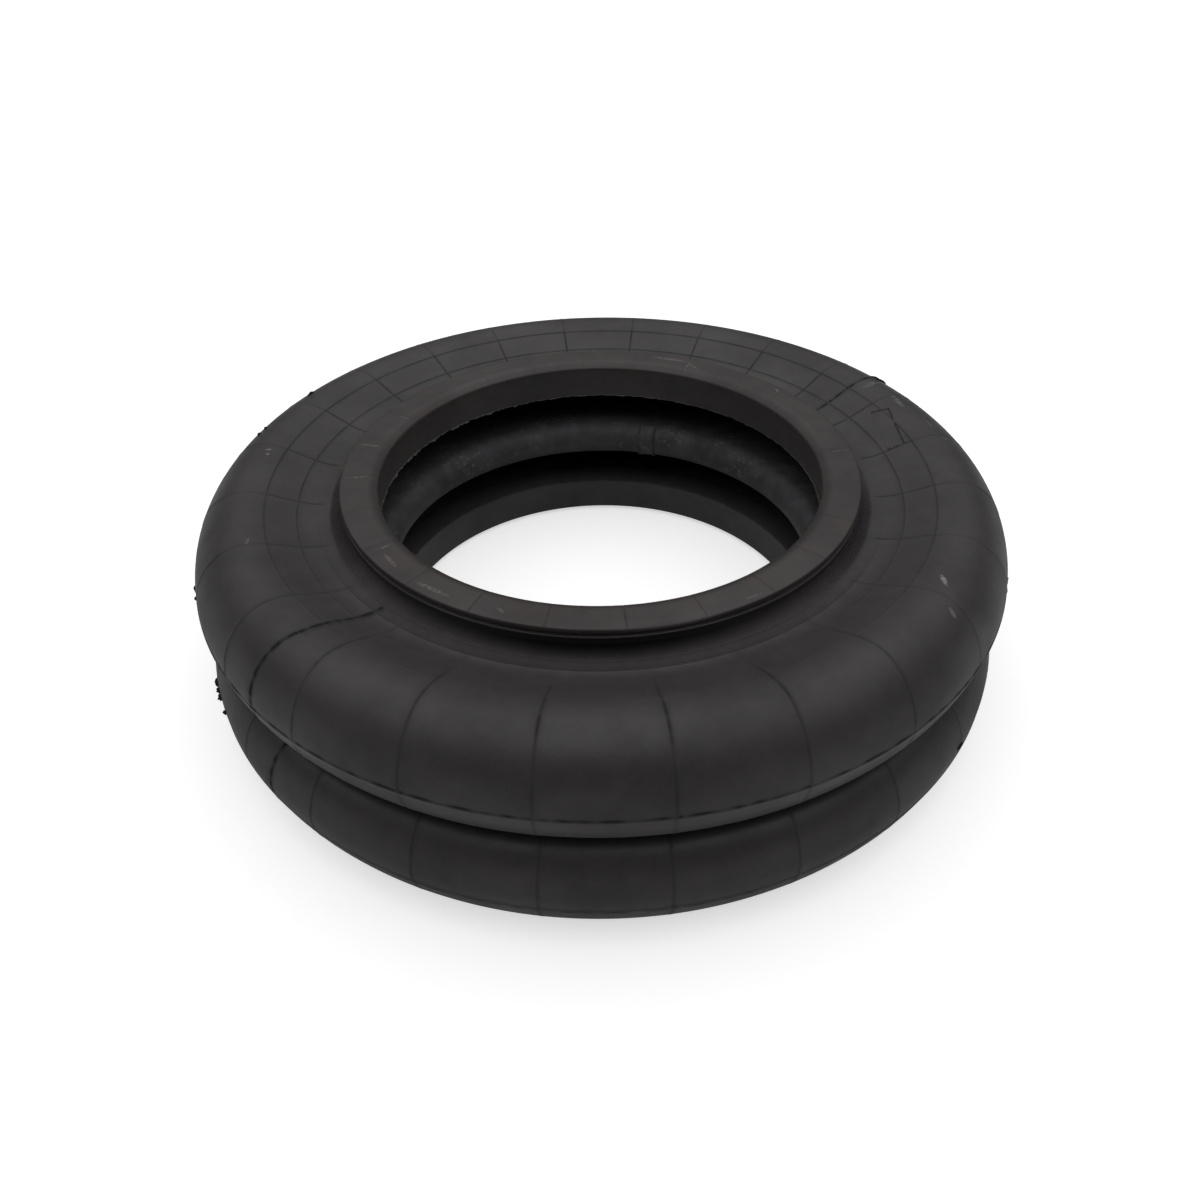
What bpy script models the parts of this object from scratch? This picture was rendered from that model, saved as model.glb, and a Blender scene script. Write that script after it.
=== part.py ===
"""Air bellows actuator: a rubber double convolution air spring without end plates.

It stands on its lower bead, with its axis on Z, and the two halves mirror each other about
the girdle. Every round piece is an outline of (radius, height) points turned about Z. The
outlines are drawn for the upper half, and the lower half gets the same ones upside down.
Units are metres.
"""

import math

import bmesh
import bpy
from mathutils import Vector

# Whole bellows
overall_radius = 0.1515
free_height = 0.0785
clearance = 0.0003
facets = 36

# Bead foot: the thick rubber rim that an end plate clamps
foot_outer_radius = 0.0978
foot_width = 0.0132
foot_draft = 0.0010
foot_floor = 0.0027
dish_width = 0.0034
dish_depth = 0.0022
foot_edge = 0.0005
lip_height = 0.0019
groove_depth = 0.0009
groove_height = 0.0014
band_width = 0.0047
valley_depth = 0.0088

# Bead wire, wound as one bundle inside each foot
bead_wire_inset = 0.0066
bead_wire_radius = 0.0029
ply_turn_length = 0.0030

# Layers of the wall, from the outside in
cover_thickness = 0.0018
ply_thickness = 0.0009
liner_thickness = 0.0012

# Outer line of one convolution, where crest_share says how far out its highest line lies
valley_width = 0.0012
crest_share = 0.649
crest_below_face = 0.0005
crown_below_face = 0.0222
shoulder_power = 1.9
underside_width = 0.0100
slit_height = 0.0039

# Girdle between the convolutions
girdle_inner_radius = 0.0810
girdle_width = 0.0234
hoop_wire_radius = 0.0032
splice_width = 0.0076
splice_thickness = 0.0005
splice_angle = math.radians(15.2)

# Radii that follow from these
foot_bore_radius = foot_outer_radius - foot_width
foot_mouth_radius = foot_bore_radius - foot_draft
band_outer_radius = foot_outer_radius + band_width
bead_wire_ring_radius = foot_outer_radius - bead_wire_inset
crest_radius = band_outer_radius + (overall_radius - band_outer_radius) * crest_share
girdle_outer_radius = girdle_inner_radius + girdle_width

# Heights of the upper half that follow
middle_height = free_height / 2
valley_height = free_height - valley_depth
crest_height = free_height - crest_below_face
crown_height = free_height - crown_below_face
slit_edge_height = middle_height + slit_height / 2

# How deep the middle of each layer lies under the outer line
outer_ply_depth = cover_thickness + clearance + ply_thickness / 2
inner_ply_depth = outer_ply_depth + ply_thickness + clearance
liner_depth = inner_ply_depth + ply_thickness / 2 + clearance + liner_thickness / 2
wall_thickness = liner_depth + liner_thickness / 2

# Bead wire seated on the inner ply
bead_wire_height = valley_height - inner_ply_depth + ply_thickness / 2 + clearance + bead_wire_radius

# Girdle pieces, from the bore out
girdle_arc_radius = slit_height / 2 + wall_thickness
girdle_arc_centre = girdle_inner_radius + girdle_arc_radius
girdle_cushion_half = slit_height / 2 + cover_thickness
outer_band_thickness = cover_thickness * 2
hoop_ring_radius = girdle_outer_radius - outer_band_thickness - clearance - hoop_wire_radius


def clear_scene():
    """Removes whatever the opened file holds."""
    for thing in list(bpy.data.objects):
        bpy.data.objects.remove(thing, do_unlink=True)


def material(name, colour, roughness, metallic=0.0):
    """A plain Principled material."""
    new = bpy.data.materials.new(name)
    new.use_nodes = True
    shader = new.node_tree.nodes["Principled BSDF"]
    shader.inputs["Base Color"].default_value = (*colour, 1.0)
    shader.inputs["Roughness"].default_value = roughness
    shader.inputs["Metallic"].default_value = metallic
    new.diffuse_color = (*colour, 1.0)
    return new


def body_frame(name, height, parent=None):
    """An empty on the axis that carries the pieces of one moving body."""
    frame = bpy.data.objects.new(name, None)
    bpy.context.collection.objects.link(frame)
    frame.parent = parent
    frame.location.z = height
    if parent is not None:
        frame.location.z -= frame_height(parent)
    return frame


def frame_height(frame):
    """Height of a frame above the floor."""
    height = 0.0
    while frame is not None:
        height += frame.location.z
        frame = frame.parent
    return height


def finish_piece(name, mesh, frame, finish):
    """Turns a bmesh into a smooth shaded object of its body."""
    bmesh.ops.recalc_face_normals(mesh, faces=mesh.faces)
    data = bpy.data.meshes.new(name)
    mesh.to_mesh(data)
    mesh.free()
    data.materials.append(finish)
    data.shade_smooth()
    data.set_sharp_from_angle(angle=math.radians(40))
    piece = bpy.data.objects.new(name, data)
    bpy.context.collection.objects.link(piece)
    piece.parent = frame
    return piece


def ring(name, outline, frame, finish):
    """Turns a closed (radius, height) outline about Z into a ring."""
    base = frame_height(frame)
    mesh = bmesh.new()
    corners = [mesh.verts.new((radius, 0, height - base)) for radius, height in outline]
    edges = [mesh.edges.new((corners[i - 1], corners[i])) for i in range(len(corners))]
    bmesh.ops.spin(
        mesh,
        geom=corners + edges,
        axis=(0, 0, 1),
        cent=(0, 0, 0),
        angle=2 * math.pi,
        steps=facets,
        use_merge=True,
    )
    return finish_piece(name, mesh, frame, finish)


def upside_down(outline):
    """The same outline for the lower half."""
    return [(radius, free_height - height) for radius, height in outline]


def offset(path, depth):
    """Shifts an open path to its right by depth, with mitred corners."""
    points = [Vector(point) for point in path]
    steps = [(b - a).normalized() for a, b in zip(points, points[1:])]
    normals = [Vector((step.y, -step.x)) for step in steps]
    shifted = []
    for i, point in enumerate(points):
        before = normals[max(i - 1, 0)]
        after = normals[min(i, len(normals) - 1)]
        middle = (before + after).normalized()
        shifted.append(tuple(point + middle * (depth / middle.dot(after))))
    return shifted


def strip(path, thickness):
    """Closed outline of a strip of even thickness along a path."""
    return offset(path, -thickness / 2) + offset(path, thickness / 2)[::-1]


def outer_line(start_radius):
    """Outer line of the upper convolution, from the foot over the crest to the girdle."""
    line = [(start_radius, valley_height)]
    rise_start = band_outer_radius + clearance + valley_width
    for i in range(3):
        share = i / 3
        radius = rise_start + (crest_radius - rise_start) * share
        rise = (1 - math.cos(math.pi * share)) / 2
        line.append((radius, valley_height + (crest_height - valley_height) * rise))
    for i in range(3):
        turn = math.pi / 2 * i / 3
        across = math.sin(turn) ** (2 / shoulder_power)
        down = math.cos(turn) ** (2 / shoulder_power)
        radius = crest_radius + (overall_radius - crest_radius) * across
        line.append((radius, crown_height + (crest_height - crown_height) * down))
    for i in range(3):
        turn = math.pi / 2 * i / 2
        radius = overall_radius - underside_width * (1 - math.cos(turn))
        drop = (crown_height - slit_edge_height) * math.sin(turn)
        line.append((radius, crown_height - drop))
    line.append((girdle_outer_radius + clearance, slit_edge_height))
    return line


def outer_ply_turn():
    """Path of the outer ply over the bead wire, down to where it leaves the foot."""
    height = bead_wire_height + bead_wire_radius + clearance + ply_thickness / 2
    low = valley_height - outer_ply_depth
    half_turn = ply_turn_length / 2
    return [
        (bead_wire_ring_radius - half_turn, height),
        (bead_wire_ring_radius + half_turn, height),
        (foot_outer_radius + clearance, low),
    ]


def inner_ply_turn():
    """Path of the inner ply up the bore side of the bead wire and under it."""
    radius = bead_wire_ring_radius - bead_wire_radius - clearance - ply_thickness / 2
    low = valley_height - inner_ply_depth
    return [(radius, bead_wire_height + ply_turn_length / 2), (radius, low)]


def foot_outline():
    """Bead foot, with a cavity open to the wall for the wire and the turned plies."""
    roof = offset(outer_ply_turn(), -ply_thickness / 2 - clearance)
    cavity_radius = inner_ply_turn()[0][0] - ply_thickness / 2 - clearance
    floor_height = valley_height - inner_ply_depth - ply_thickness / 2 - clearance
    underside = floor_height - foot_floor
    second_lip = free_height - lip_height - groove_height
    slope_top = second_lip - lip_height
    return [
        (foot_mouth_radius, free_height - dish_depth),
        (foot_mouth_radius + dish_width, free_height),
        (foot_outer_radius - foot_edge, free_height),
        (foot_outer_radius, free_height - foot_edge),
        (foot_outer_radius, free_height - lip_height),
        (foot_outer_radius - groove_depth, free_height - lip_height - foot_edge),
        (foot_outer_radius - groove_depth, second_lip + foot_edge / 2),
        (foot_outer_radius, second_lip),
        (foot_outer_radius, slope_top),
        (band_outer_radius, valley_height),
        (band_outer_radius, valley_height - cover_thickness),
        (roof[2][0], valley_height - cover_thickness),
        roof[1],
        (cavity_radius, roof[0][1]),
        (cavity_radius, floor_height),
        (foot_outer_radius, floor_height),
        (foot_outer_radius, underside),
        (foot_bore_radius, underside),
    ]


def filler_outline():
    """Rubber wedge between the bead wire and the plies that part around it."""
    slope = offset(outer_ply_turn(), ply_thickness / 2 + clearance)
    high, low = slope[1], slope[2]
    side = bead_wire_ring_radius + bead_wire_radius + clearance
    base = valley_height - inner_ply_depth + ply_thickness / 2 + clearance
    fall = (low[1] - high[1]) / (low[0] - high[0])
    return [
        (side, base),
        (side, high[1] + fall * (side - high[0])),
        (high[0] + (base + clearance - high[1]) / fall, base + clearance),
        (high[0] + (base + clearance - high[1]) / fall, base),
    ]


def wire_outline(ring_radius, height, wire_radius):
    """Round bundle of wire, as an eight sided outline."""
    turns = [math.radians(22.5 + 45 * i) for i in range(8)]
    return [(ring_radius + wire_radius * math.cos(t), height + wire_radius * math.sin(t)) for t in turns]


def wall_layer(depth, start_radius, turn):
    """Path of a wall layer whose middle lies depth under the outer line."""
    return turn + offset(outer_line(start_radius), depth)


def girdle_path(radius):
    """Path of a girdle layer: in along the top, round the bore side and back out below."""
    arc = [math.radians(90 + 45 * i) for i in range(5)]
    bend = [(girdle_arc_centre + radius * math.cos(t), middle_height + radius * math.sin(t)) for t in arc]
    top_end = (girdle_outer_radius, middle_height + radius)
    low_end = (girdle_outer_radius, middle_height - radius)
    return [top_end] + bend + [low_end]


def outer_band_outline():
    """Rubber floor of the groove, slightly hollow on its outside."""
    hollow = girdle_outer_radius - cover_thickness / 2
    back = girdle_outer_radius - outer_band_thickness
    return [
        (back, middle_height + girdle_cushion_half),
        (girdle_outer_radius, middle_height + girdle_cushion_half),
        (girdle_outer_radius, middle_height + slit_height / 2),
        (hollow, middle_height),
        (girdle_outer_radius, middle_height - slit_height / 2),
        (girdle_outer_radius, middle_height - girdle_cushion_half),
        (back, middle_height - girdle_cushion_half),
    ]


def cushion_outline():
    """Rubber bar that fills the bend of the girdle plies behind the hoop."""
    arc = [math.radians(90 + 45 * i) for i in range(5)]
    half = girdle_cushion_half
    bend = [(girdle_arc_centre + half * math.cos(t), middle_height + half * math.sin(t)) for t in arc]
    back = hoop_ring_radius - hoop_wire_radius - clearance
    return [(back, middle_height + half)] + bend + [(back, middle_height - half)]


def splice_strip(frame, finish):
    """Short strip over the liner joint, which follows one flat facet of the girdle liner."""
    arc = [math.radians(120 + 20 * i) for i in range(7)]
    inner = girdle_arc_radius + clearance
    outer = inner + splice_thickness
    low = [(girdle_arc_centre + inner * math.cos(t), middle_height + inner * math.sin(t)) for t in arc]
    high = [(girdle_arc_centre + outer * math.cos(t), middle_height + outer * math.sin(t)) for t in arc]
    outline = low + high[::-1]
    step = 2 * math.pi / facets
    centre = math.pi / 2 - splice_angle
    facet_middle = (math.floor(centre / step) + 0.5) * step
    half = math.asin(splice_width / 2 / girdle_inner_radius)
    base = frame_height(frame)
    mesh = bmesh.new()
    ends = []
    for angle in (centre - half, centre + half):
        flat = math.cos(step / 2) / math.cos(angle - facet_middle)
        along = Vector((math.cos(angle), math.sin(angle), 0)) * flat
        ends.append([mesh.verts.new(along * r + Vector((0, 0, z - base))) for r, z in outline])
    for i in range(len(outline)):
        mesh.faces.new((ends[0][i - 1], ends[0][i], ends[1][i], ends[1][i - 1]))
    mesh.faces.new(ends[0])
    mesh.faces.new(ends[1])
    return finish_piece("girdle_splice_strip", mesh, frame, finish)


def build_half(side, place, bead_frame, wall_frame, finishes):
    """Both bodies of one half. place gives an outline its height in this half."""
    rubber, fabric, steel, lining = finishes
    wire = wire_outline(bead_wire_ring_radius, bead_wire_height, bead_wire_radius)
    ring(f"bead_foot_{side}", place(foot_outline()), bead_frame, rubber)
    ring(f"bead_wire_{side}", place(wire), bead_frame, steel)
    ring(f"bead_filler_{side}", place(filler_outline()), bead_frame, rubber)
    cover = wall_layer(cover_thickness / 2, band_outer_radius + clearance, [])
    outer_ply = wall_layer(outer_ply_depth, band_outer_radius + clearance, outer_ply_turn())
    inner_ply = wall_layer(inner_ply_depth, band_outer_radius + clearance, inner_ply_turn())
    liner = wall_layer(liner_depth, foot_outer_radius + clearance, [])
    ring(f"cover_{side}", place(strip(cover, cover_thickness)), wall_frame, rubber)
    ring(f"outer_ply_{side}", place(strip(outer_ply, ply_thickness)), wall_frame, fabric)
    ring(f"inner_ply_{side}", place(strip(inner_ply, ply_thickness)), wall_frame, fabric)
    ring(f"liner_{side}", place(strip(liner, liner_thickness)), wall_frame, lining)


def build_girdle(frame, finishes):
    """The stiff ring that holds the two convolutions apart."""
    rubber, fabric, steel, lining = finishes
    arc = girdle_arc_radius
    liner = girdle_path(arc - liner_thickness / 2)
    inner_ply = girdle_path(slit_height / 2 + inner_ply_depth)
    outer_ply = girdle_path(slit_height / 2 + outer_ply_depth)
    hoop = wire_outline(hoop_ring_radius, middle_height, hoop_wire_radius)
    ring("girdle_liner", strip(liner, liner_thickness), frame, lining)
    ring("girdle_inner_ply", strip(inner_ply, ply_thickness), frame, fabric)
    ring("girdle_outer_ply", strip(outer_ply, ply_thickness), frame, fabric)
    ring("girdle_cushion", cushion_outline(), frame, rubber)
    ring("girdle_hoop", hoop, frame, steel)
    ring("girdle_outer_band", outer_band_outline(), frame, rubber)
    splice_strip(frame, lining)


def build():
    """The whole bellows: five bodies in a chain from the lower bead to the upper one."""
    clear_scene()
    rubber = material("rubber", (0.050, 0.049, 0.049), 0.62)
    fabric = material("ply_fabric", (0.110, 0.095, 0.070), 0.85)
    steel = material("bead_steel", (0.480, 0.440, 0.360), 0.38, 1.0)
    lining = material("liner_rubber", (0.036, 0.035, 0.036), 0.55)
    finishes = (rubber, fabric, steel, lining)
    lower_crown = free_height - crown_height
    lower_bead = body_frame("lower_bead_frame", 0.0)
    lower_wall = body_frame("lower_wall_frame", lower_crown, lower_bead)
    girdle = body_frame("girdle_frame", lower_crown, lower_wall)
    upper_wall = body_frame("upper_wall_frame", crown_height, girdle)
    upper_bead = body_frame("upper_bead_frame", free_height, upper_wall)
    build_half("lower", upside_down, lower_bead, lower_wall, finishes)
    build_half("upper", list, upper_bead, upper_wall, finishes)
    build_girdle(girdle, finishes)


build()
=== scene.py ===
# %% [markdown]
# # A rubber air bellows
#
# The object is a double convolution air bellows as it leaves its mould: a thick bead at the
# top and at the bottom, two bulging convolutions, and a stiff girdle between them. Nearly
# every surface is a surface of revolution, so the whole lesson rests on one idea: draw a line
# of (radius, height) points, measure it by its arc length, and turn it about Z with numpy.

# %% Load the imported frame
import math

import bpy
import numpy as np
from mathutils import Matrix, Vector


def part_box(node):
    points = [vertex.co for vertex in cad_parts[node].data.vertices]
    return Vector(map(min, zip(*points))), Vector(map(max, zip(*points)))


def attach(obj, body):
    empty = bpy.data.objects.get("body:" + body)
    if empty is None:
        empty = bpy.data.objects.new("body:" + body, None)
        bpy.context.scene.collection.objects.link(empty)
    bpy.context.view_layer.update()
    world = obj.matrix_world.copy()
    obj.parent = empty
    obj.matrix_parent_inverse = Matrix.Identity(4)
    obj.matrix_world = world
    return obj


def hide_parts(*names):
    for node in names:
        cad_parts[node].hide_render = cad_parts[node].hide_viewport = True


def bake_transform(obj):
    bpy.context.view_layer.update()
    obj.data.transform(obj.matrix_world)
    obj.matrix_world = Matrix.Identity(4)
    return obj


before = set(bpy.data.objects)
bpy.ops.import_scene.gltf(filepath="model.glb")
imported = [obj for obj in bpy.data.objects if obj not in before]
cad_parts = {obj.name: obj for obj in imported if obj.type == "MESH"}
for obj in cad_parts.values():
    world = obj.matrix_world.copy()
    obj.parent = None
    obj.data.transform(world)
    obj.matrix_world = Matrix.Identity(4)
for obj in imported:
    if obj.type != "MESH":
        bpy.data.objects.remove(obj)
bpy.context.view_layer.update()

# %% [markdown]
# ## Sizes
#
# The frame already holds the sizes of the solids, so the main ones are read from its boxes.
# What a box can't tell, such as how deep a lip is, is named here in millimetres, in one
# place, because the lines of all layers are worked out from these values.

# %% Read the main sizes, in metres
MM = 0.001
free_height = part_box("bead_foot_upper")[1][2]
band_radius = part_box("bead_foot_upper")[1][0]
overall_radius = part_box("cover_upper")[1][0]
crest_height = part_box("cover_upper")[1][2]
slit_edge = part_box("cover_upper")[0][2]
girdle_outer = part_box("girdle_liner")[1][0]
foot_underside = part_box("bead_foot_upper")[0][2]
middle = free_height / 2
gap = 0.3 * MM
print("free height %.1f mm, outer radius %.1f mm" % (free_height / MM, overall_radius / MM))

# %% Name the sizes that the boxes don't tell
foot_radius = band_radius - 4.7 * MM
bore_radius = foot_radius - 13.2 * MM
mouth_radius = bore_radius - 1.0 * MM
wire_ring = foot_radius - 6.6 * MM
wire_radius = 2.9 * MM
valley = free_height - 8.8 * MM
crown = free_height - 22.2 * MM
crest_radius = band_radius + (overall_radius - band_radius) * 0.649
underside_width = 10.0 * MM
shoulder_power = 1.9
girdle_inner = 81.0 * MM
hoop_radius = 3.2 * MM
cover_t, ply_t, liner_t = 1.8 * MM, 0.9 * MM, 1.2 * MM
outer_ply_depth = cover_t + gap
inner_ply_depth = outer_ply_depth + ply_t + gap
liner_depth = inner_ply_depth + ply_t + gap
wall_t = liner_depth + liner_t
half_slit = slit_edge - middle
print("wall thickness %.1f mm" % (wall_t / MM))

# %% [markdown]
# ## Turning a line into a piece
#
# Blender's Screw modifier would be one way. Here the grid of points is one numpy array,
# because then a fine vent line or a grip rib is only a small number added along the normal.
# Rows run along the line and columns round the axis. Both wrap, so the piece is closed.

# %% Helpers that make a mesh from a grid
def outward(points, faces):
    """The faces, turned round where the signed volume sum(a . (b x c)) / 6 is below zero."""
    a, b, c, d = (points[faces[:, k]] for k in range(4))
    volume = np.sum(a * np.cross(b, c)) + np.sum(a * np.cross(c, d))
    return faces[:, ::-1] if volume < 0 else faces


def ring_mesh(name, grid, material, marks=None):
    """Mesh of a grid (rows, columns, 3) that wraps both ways.

    Face (i, j) joins points (i, j), (i+1, j), (i+1, j+1), (i, j+1), counted modulo the size."""
    rows, columns = grid.shape[:2]
    index = np.arange(rows * columns).reshape(rows, columns)
    down, right = np.roll(index, -1, 0), np.roll(index, -1, 1)
    faces = np.stack([index, down, np.roll(down, -1, 1), right], -1).reshape(-1, 4)
    points = grid.reshape(-1, 3)
    return finish_mesh(name, points, outward(points, faces), material, marks)


def finish_mesh(name, points, faces, material, marks=None, sharp=50):
    """Object with smooth faces, sharp where they meet at more than `sharp` degrees.

    marks maps an attribute's name to one number per point, which the materials read."""
    data = bpy.data.meshes.new(name)
    data.from_pydata(points.tolist(), [], faces.tolist())
    data.shade_smooth()
    data.set_sharp_from_angle(angle=math.radians(sharp))
    for label, values in (marks or {}).items():
        attribute = data.attributes.new(label, "FLOAT", "POINT")
        attribute.data.foreach_set("value", np.ascontiguousarray(values, np.float32).ravel())
    data.materials.append(material)
    piece = bpy.data.objects.new(name, data)
    bpy.context.collection.objects.link(piece)
    return piece


def spun(r, z, angles):
    """Points (r cos a, r sin a, z), for numbers or arrays that broadcast to one shape."""
    r, z, angles = np.broadcast_arrays(r, z, angles)
    return np.stack([r * np.cos(angles), r * np.sin(angles), z], -1)


def turned(line, angles):
    """Every point (r, z) of a line at every angle, as a grid."""
    return spun(line[:, 0, None], line[:, 1, None], angles)


def upside_down(grid):
    """Point (x, y, z) becomes (x, y, free_height - z), for the lower half."""
    return grid * np.array([1, 1, -1]) + np.array([0, 0, free_height])


def even_angles(count):
    """count angles from 0, evenly round the circle."""
    return np.arange(count) * 2 * np.pi / count


print("helpers ready")

# %% [markdown]
# ## Lines, corners and offsets
#
# A moulded edge is never sharp, so a corner of an outline is replaced by a short curve. The
# layers of the wall are one line shifted inwards by different depths, as rubber sheets lie on
# each other on the building drum.

# %% Helpers for lines in the (radius, height) plane
def pulled(t, start, corner, end):
    """Curve (1-t)^2 A + 2t(1-t) C + t^2 B from A to B, pulled towards the corner C."""
    return (1 - t) ** 2 * start + 2 * t * (1 - t) * corner + t**2 * end


def rounded(corners, radius, steps=4):
    """Closed outline with each corner C between A and B replaced by a curve.

    The curve runs from A' to B', which lie `radius` from C on the way to A and B, or two
    fifths of the way where the side is short."""
    c = np.array(corners, float)
    t = np.linspace(0, 1, steps + 1)[None, :, None]
    reach = np.broadcast_to(np.asarray(radius, float), len(c))[:, None]

    def toward(other):
        """Ends of the curves on the way to the other corners."""
        side = other - c
        length = np.linalg.norm(side, axis=1, keepdims=True)
        return c + side / length * np.minimum(reach, length * 0.4)

    start, end = toward(np.roll(c, 1, 0)), toward(np.roll(c, -1, 0))
    return pulled(t, start[:, None], c[:, None], end[:, None]).reshape(-1, 2)


def measured(line):
    """Arc length from the start to each point of a line."""
    steps = np.linalg.norm(np.diff(line, axis=0), axis=1)
    return np.hstack([[0], np.cumsum(steps)])


def normals(line):
    """Unit normals on the line's left hand: the tangent (dr, dz) turned to (-dz, dr)."""
    tangent = np.gradient(line, axis=0)
    left = np.stack([-tangent[:, 1], tangent[:, 0]], -1)
    return left / np.linalg.norm(left, axis=1, keepdims=True)


def at(line, s):
    """Point and normal of a line at arc lengths s, by linear interpolation."""
    length, side = measured(line), normals(line)
    point = np.stack([np.interp(s, length, line[:, k]) for k in (0, 1)], -1)
    normal = np.stack([np.interp(s, length, side[:, k]) for k in (0, 1)], -1)
    return point, normal / np.linalg.norm(normal, axis=1, keepdims=True)


def gathered(start, end, step, lines=(), width=0.0):
    """Samples from start to end, a step apart, with seven close ones across each line.

    A line at x adds x + width * (-3, -2, -1, 0, 1, 2, 3) / 2 and drops the even samples
    between them, so that a narrow ridge is caught by a light mesh."""
    even = np.linspace(start, end, max(int(round((end - start) / step)), 1) + 1)
    lines = np.array([x for x in lines if start < x < end])
    if not len(lines):
        return even
    far = np.abs(even[:, None] - lines).min(1) > 2 * width
    far[[0, -1]] = True
    close = (lines[:, None] + width * np.arange(-3, 4) / 2).ravel()
    close = close[(close > start) & (close < end)]
    return np.unique(np.hstack([even[far], close]))


print("line helpers ready")

# %% [markdown]
# ## The outer line of a convolution
#
# From the bead the wall dips into a shallow valley, rises to the crest, turns over a rounded
# shoulder to the crown, and comes back in under it to the girdle. The rise is half a cosine
# wave, the shoulder is a quarter of a superellipse, and the underside a quarter of an ellipse.
# A hand drawn spline would do too, but these three formulas have no bumps.

# %% Work out the outer line, upper half
part_points = 239
crest_at = 1 + part_points
crown_at = crest_at + part_points


def convolution_line():
    """Rise: z = valley + (crest - valley) (1 - cos(pi t)) / 2.
    Shoulder: r, z = crest radius + a sin(t)^(2/n), crown + b cos(t)^(2/n).
    Underside: r, z = overall radius - w (1 - cos t) - k sin(2t), crown - h sin t."""
    rise_start = band_radius + 1.5 * MM
    t = np.linspace(0, 1, part_points + 1)[1:]
    turn = t * np.pi / 2
    flat = np.array([[band_radius - 0.1 * MM, valley - 0.05 * MM], [rise_start, valley]])
    rise = np.stack([
        rise_start + (crest_radius - rise_start) * t,
        valley + (crest_height - valley) * (1 - np.cos(np.pi * t)) / 2,
    ], -1)
    across = np.sin(turn) ** (2 / shoulder_power)
    down = np.clip(np.cos(turn), 0, 1) ** (2 / shoulder_power)
    shoulder = np.stack([
        crest_radius + (overall_radius - crest_radius) * across,
        crown + (crest_height - crown) * down,
    ], -1)
    under = np.stack([
        overall_radius - underside_width * (1 - np.cos(turn)) - 0.8 * MM * np.sin(2 * turn),
        crown - (crown - slit_edge) * np.sin(turn),
    ], -1)
    end = np.array([[girdle_outer + gap, slit_edge]])
    return np.vstack([flat, rise, shoulder, under, end])


outer = convolution_line()
outer_length = measured(outer)
s_end = outer_length[-1]
s_crest, s_crown = outer_length[crest_at], outer_length[crown_at]
rising, falling = slice(0, crest_at), slice(crest_at, crown_at + part_points)
split_height = (crest_height + slit_edge) / 2
s_split = float(np.interp(-split_height, -outer[falling, 1], outer_length[falling]))
print("outer line, crest, split and crown in mm",
      *(round(s / MM, 1) for s in (s_end, s_crest, s_split, s_crown)))

# %% [markdown]
# ## Materials
#
# Everything here is rubber but the plies and the wires. Rubber from a mould isn't one colour:
# it has a broad cloudy bloom, a fine grain from the blasted mould, and pale scuffs on its
# highest places. The fine lines where air was let out are painted dark, as painted shade
# along their ridges, and a few other places carry painted shade or a painted highlight. All
# of it is noise in object coordinates, so it stays on the rubber when the bellows moves, and
# marks are attributes of the mesh.

# %% Build the materials
mark_depth = 4 * MM


def new_material(name):
    """A new material, its node tree and its Principled shader."""
    material = bpy.data.materials.new(name)
    material.use_nodes = True
    tree = material.node_tree
    return material, tree, tree.nodes["Principled BSDF"]


def plug(tree, made, **inputs):
    """Links or sets the inputs of a node, each by its name, or by its number as in i0."""
    for key, value in inputs.items():
        numbered = key[0] == "i" and key[1:].isdigit()
        socket = made.inputs[int(key[1:]) if numbered else key.replace("_", " ")]
        if isinstance(value, bpy.types.NodeSocket):
            tree.links.new(value, socket)
        else:
            socket.default_value = value


def node(tree, kind, settings=None, out=0, **inputs):
    """Adds a node, sets its properties, plugs its inputs, and gives one of its outputs."""
    made = tree.nodes.new("ShaderNode" + kind)
    for key, value in (settings or {}).items():
        setattr(made, key, value)
    plug(tree, made, **inputs)
    return made.outputs[out]


def mix(tree, factor, first, second):
    """Colour between first and second, by factor."""
    first, second = ((*c, 1.0) if isinstance(c, tuple) else c for c in (first, second))
    return node(tree, "Mix", {"data_type": "RGBA"}, 2, i0=factor, i6=first, i7=second)


def times(tree, first, second):
    """Product of two values."""
    return node(tree, "Math", {"operation": "MULTIPLY"}, i0=first, i1=second)


def noise(tree, place, scale, detail=3.0, roughness=0.55):
    """Noise in object coordinates. scale counts features in a metre."""
    return node(tree, "TexNoise", Vector=place, Scale=scale, Detail=detail, Roughness=roughness)


def span(tree, value, low, high, to_low=0.0, to_high=1.0, curve="LINEAR"):
    """Map of value from low..high to to_low..to_high, held inside."""
    return node(tree, "MapRange", {"interpolation_type": curve},
                i0=value, i1=low, i2=high, i3=to_low, i4=to_high)


def scratch(tree, place, centre, degrees, length, width):
    """Mask of one small mark: 1 inside an ellipse that is turned about Z, 0 outside.

    The place is brought into the mark's own frame, where the ellipse is a unit ball."""
    local = node(tree, "Mapping", {"vector_type": "TEXTURE"}, Vector=place,
                 Location=tuple(c * MM for c in centre), Rotation=(0.0, 0.0, math.radians(degrees)),
                 Scale=(length * MM, width * MM, mark_depth))
    ball = node(tree, "VectorMath", {"operation": "LENGTH"}, "Value", i0=local)
    return span(tree, ball, 0.55, 1.0, 1.0, 0.0)


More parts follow.
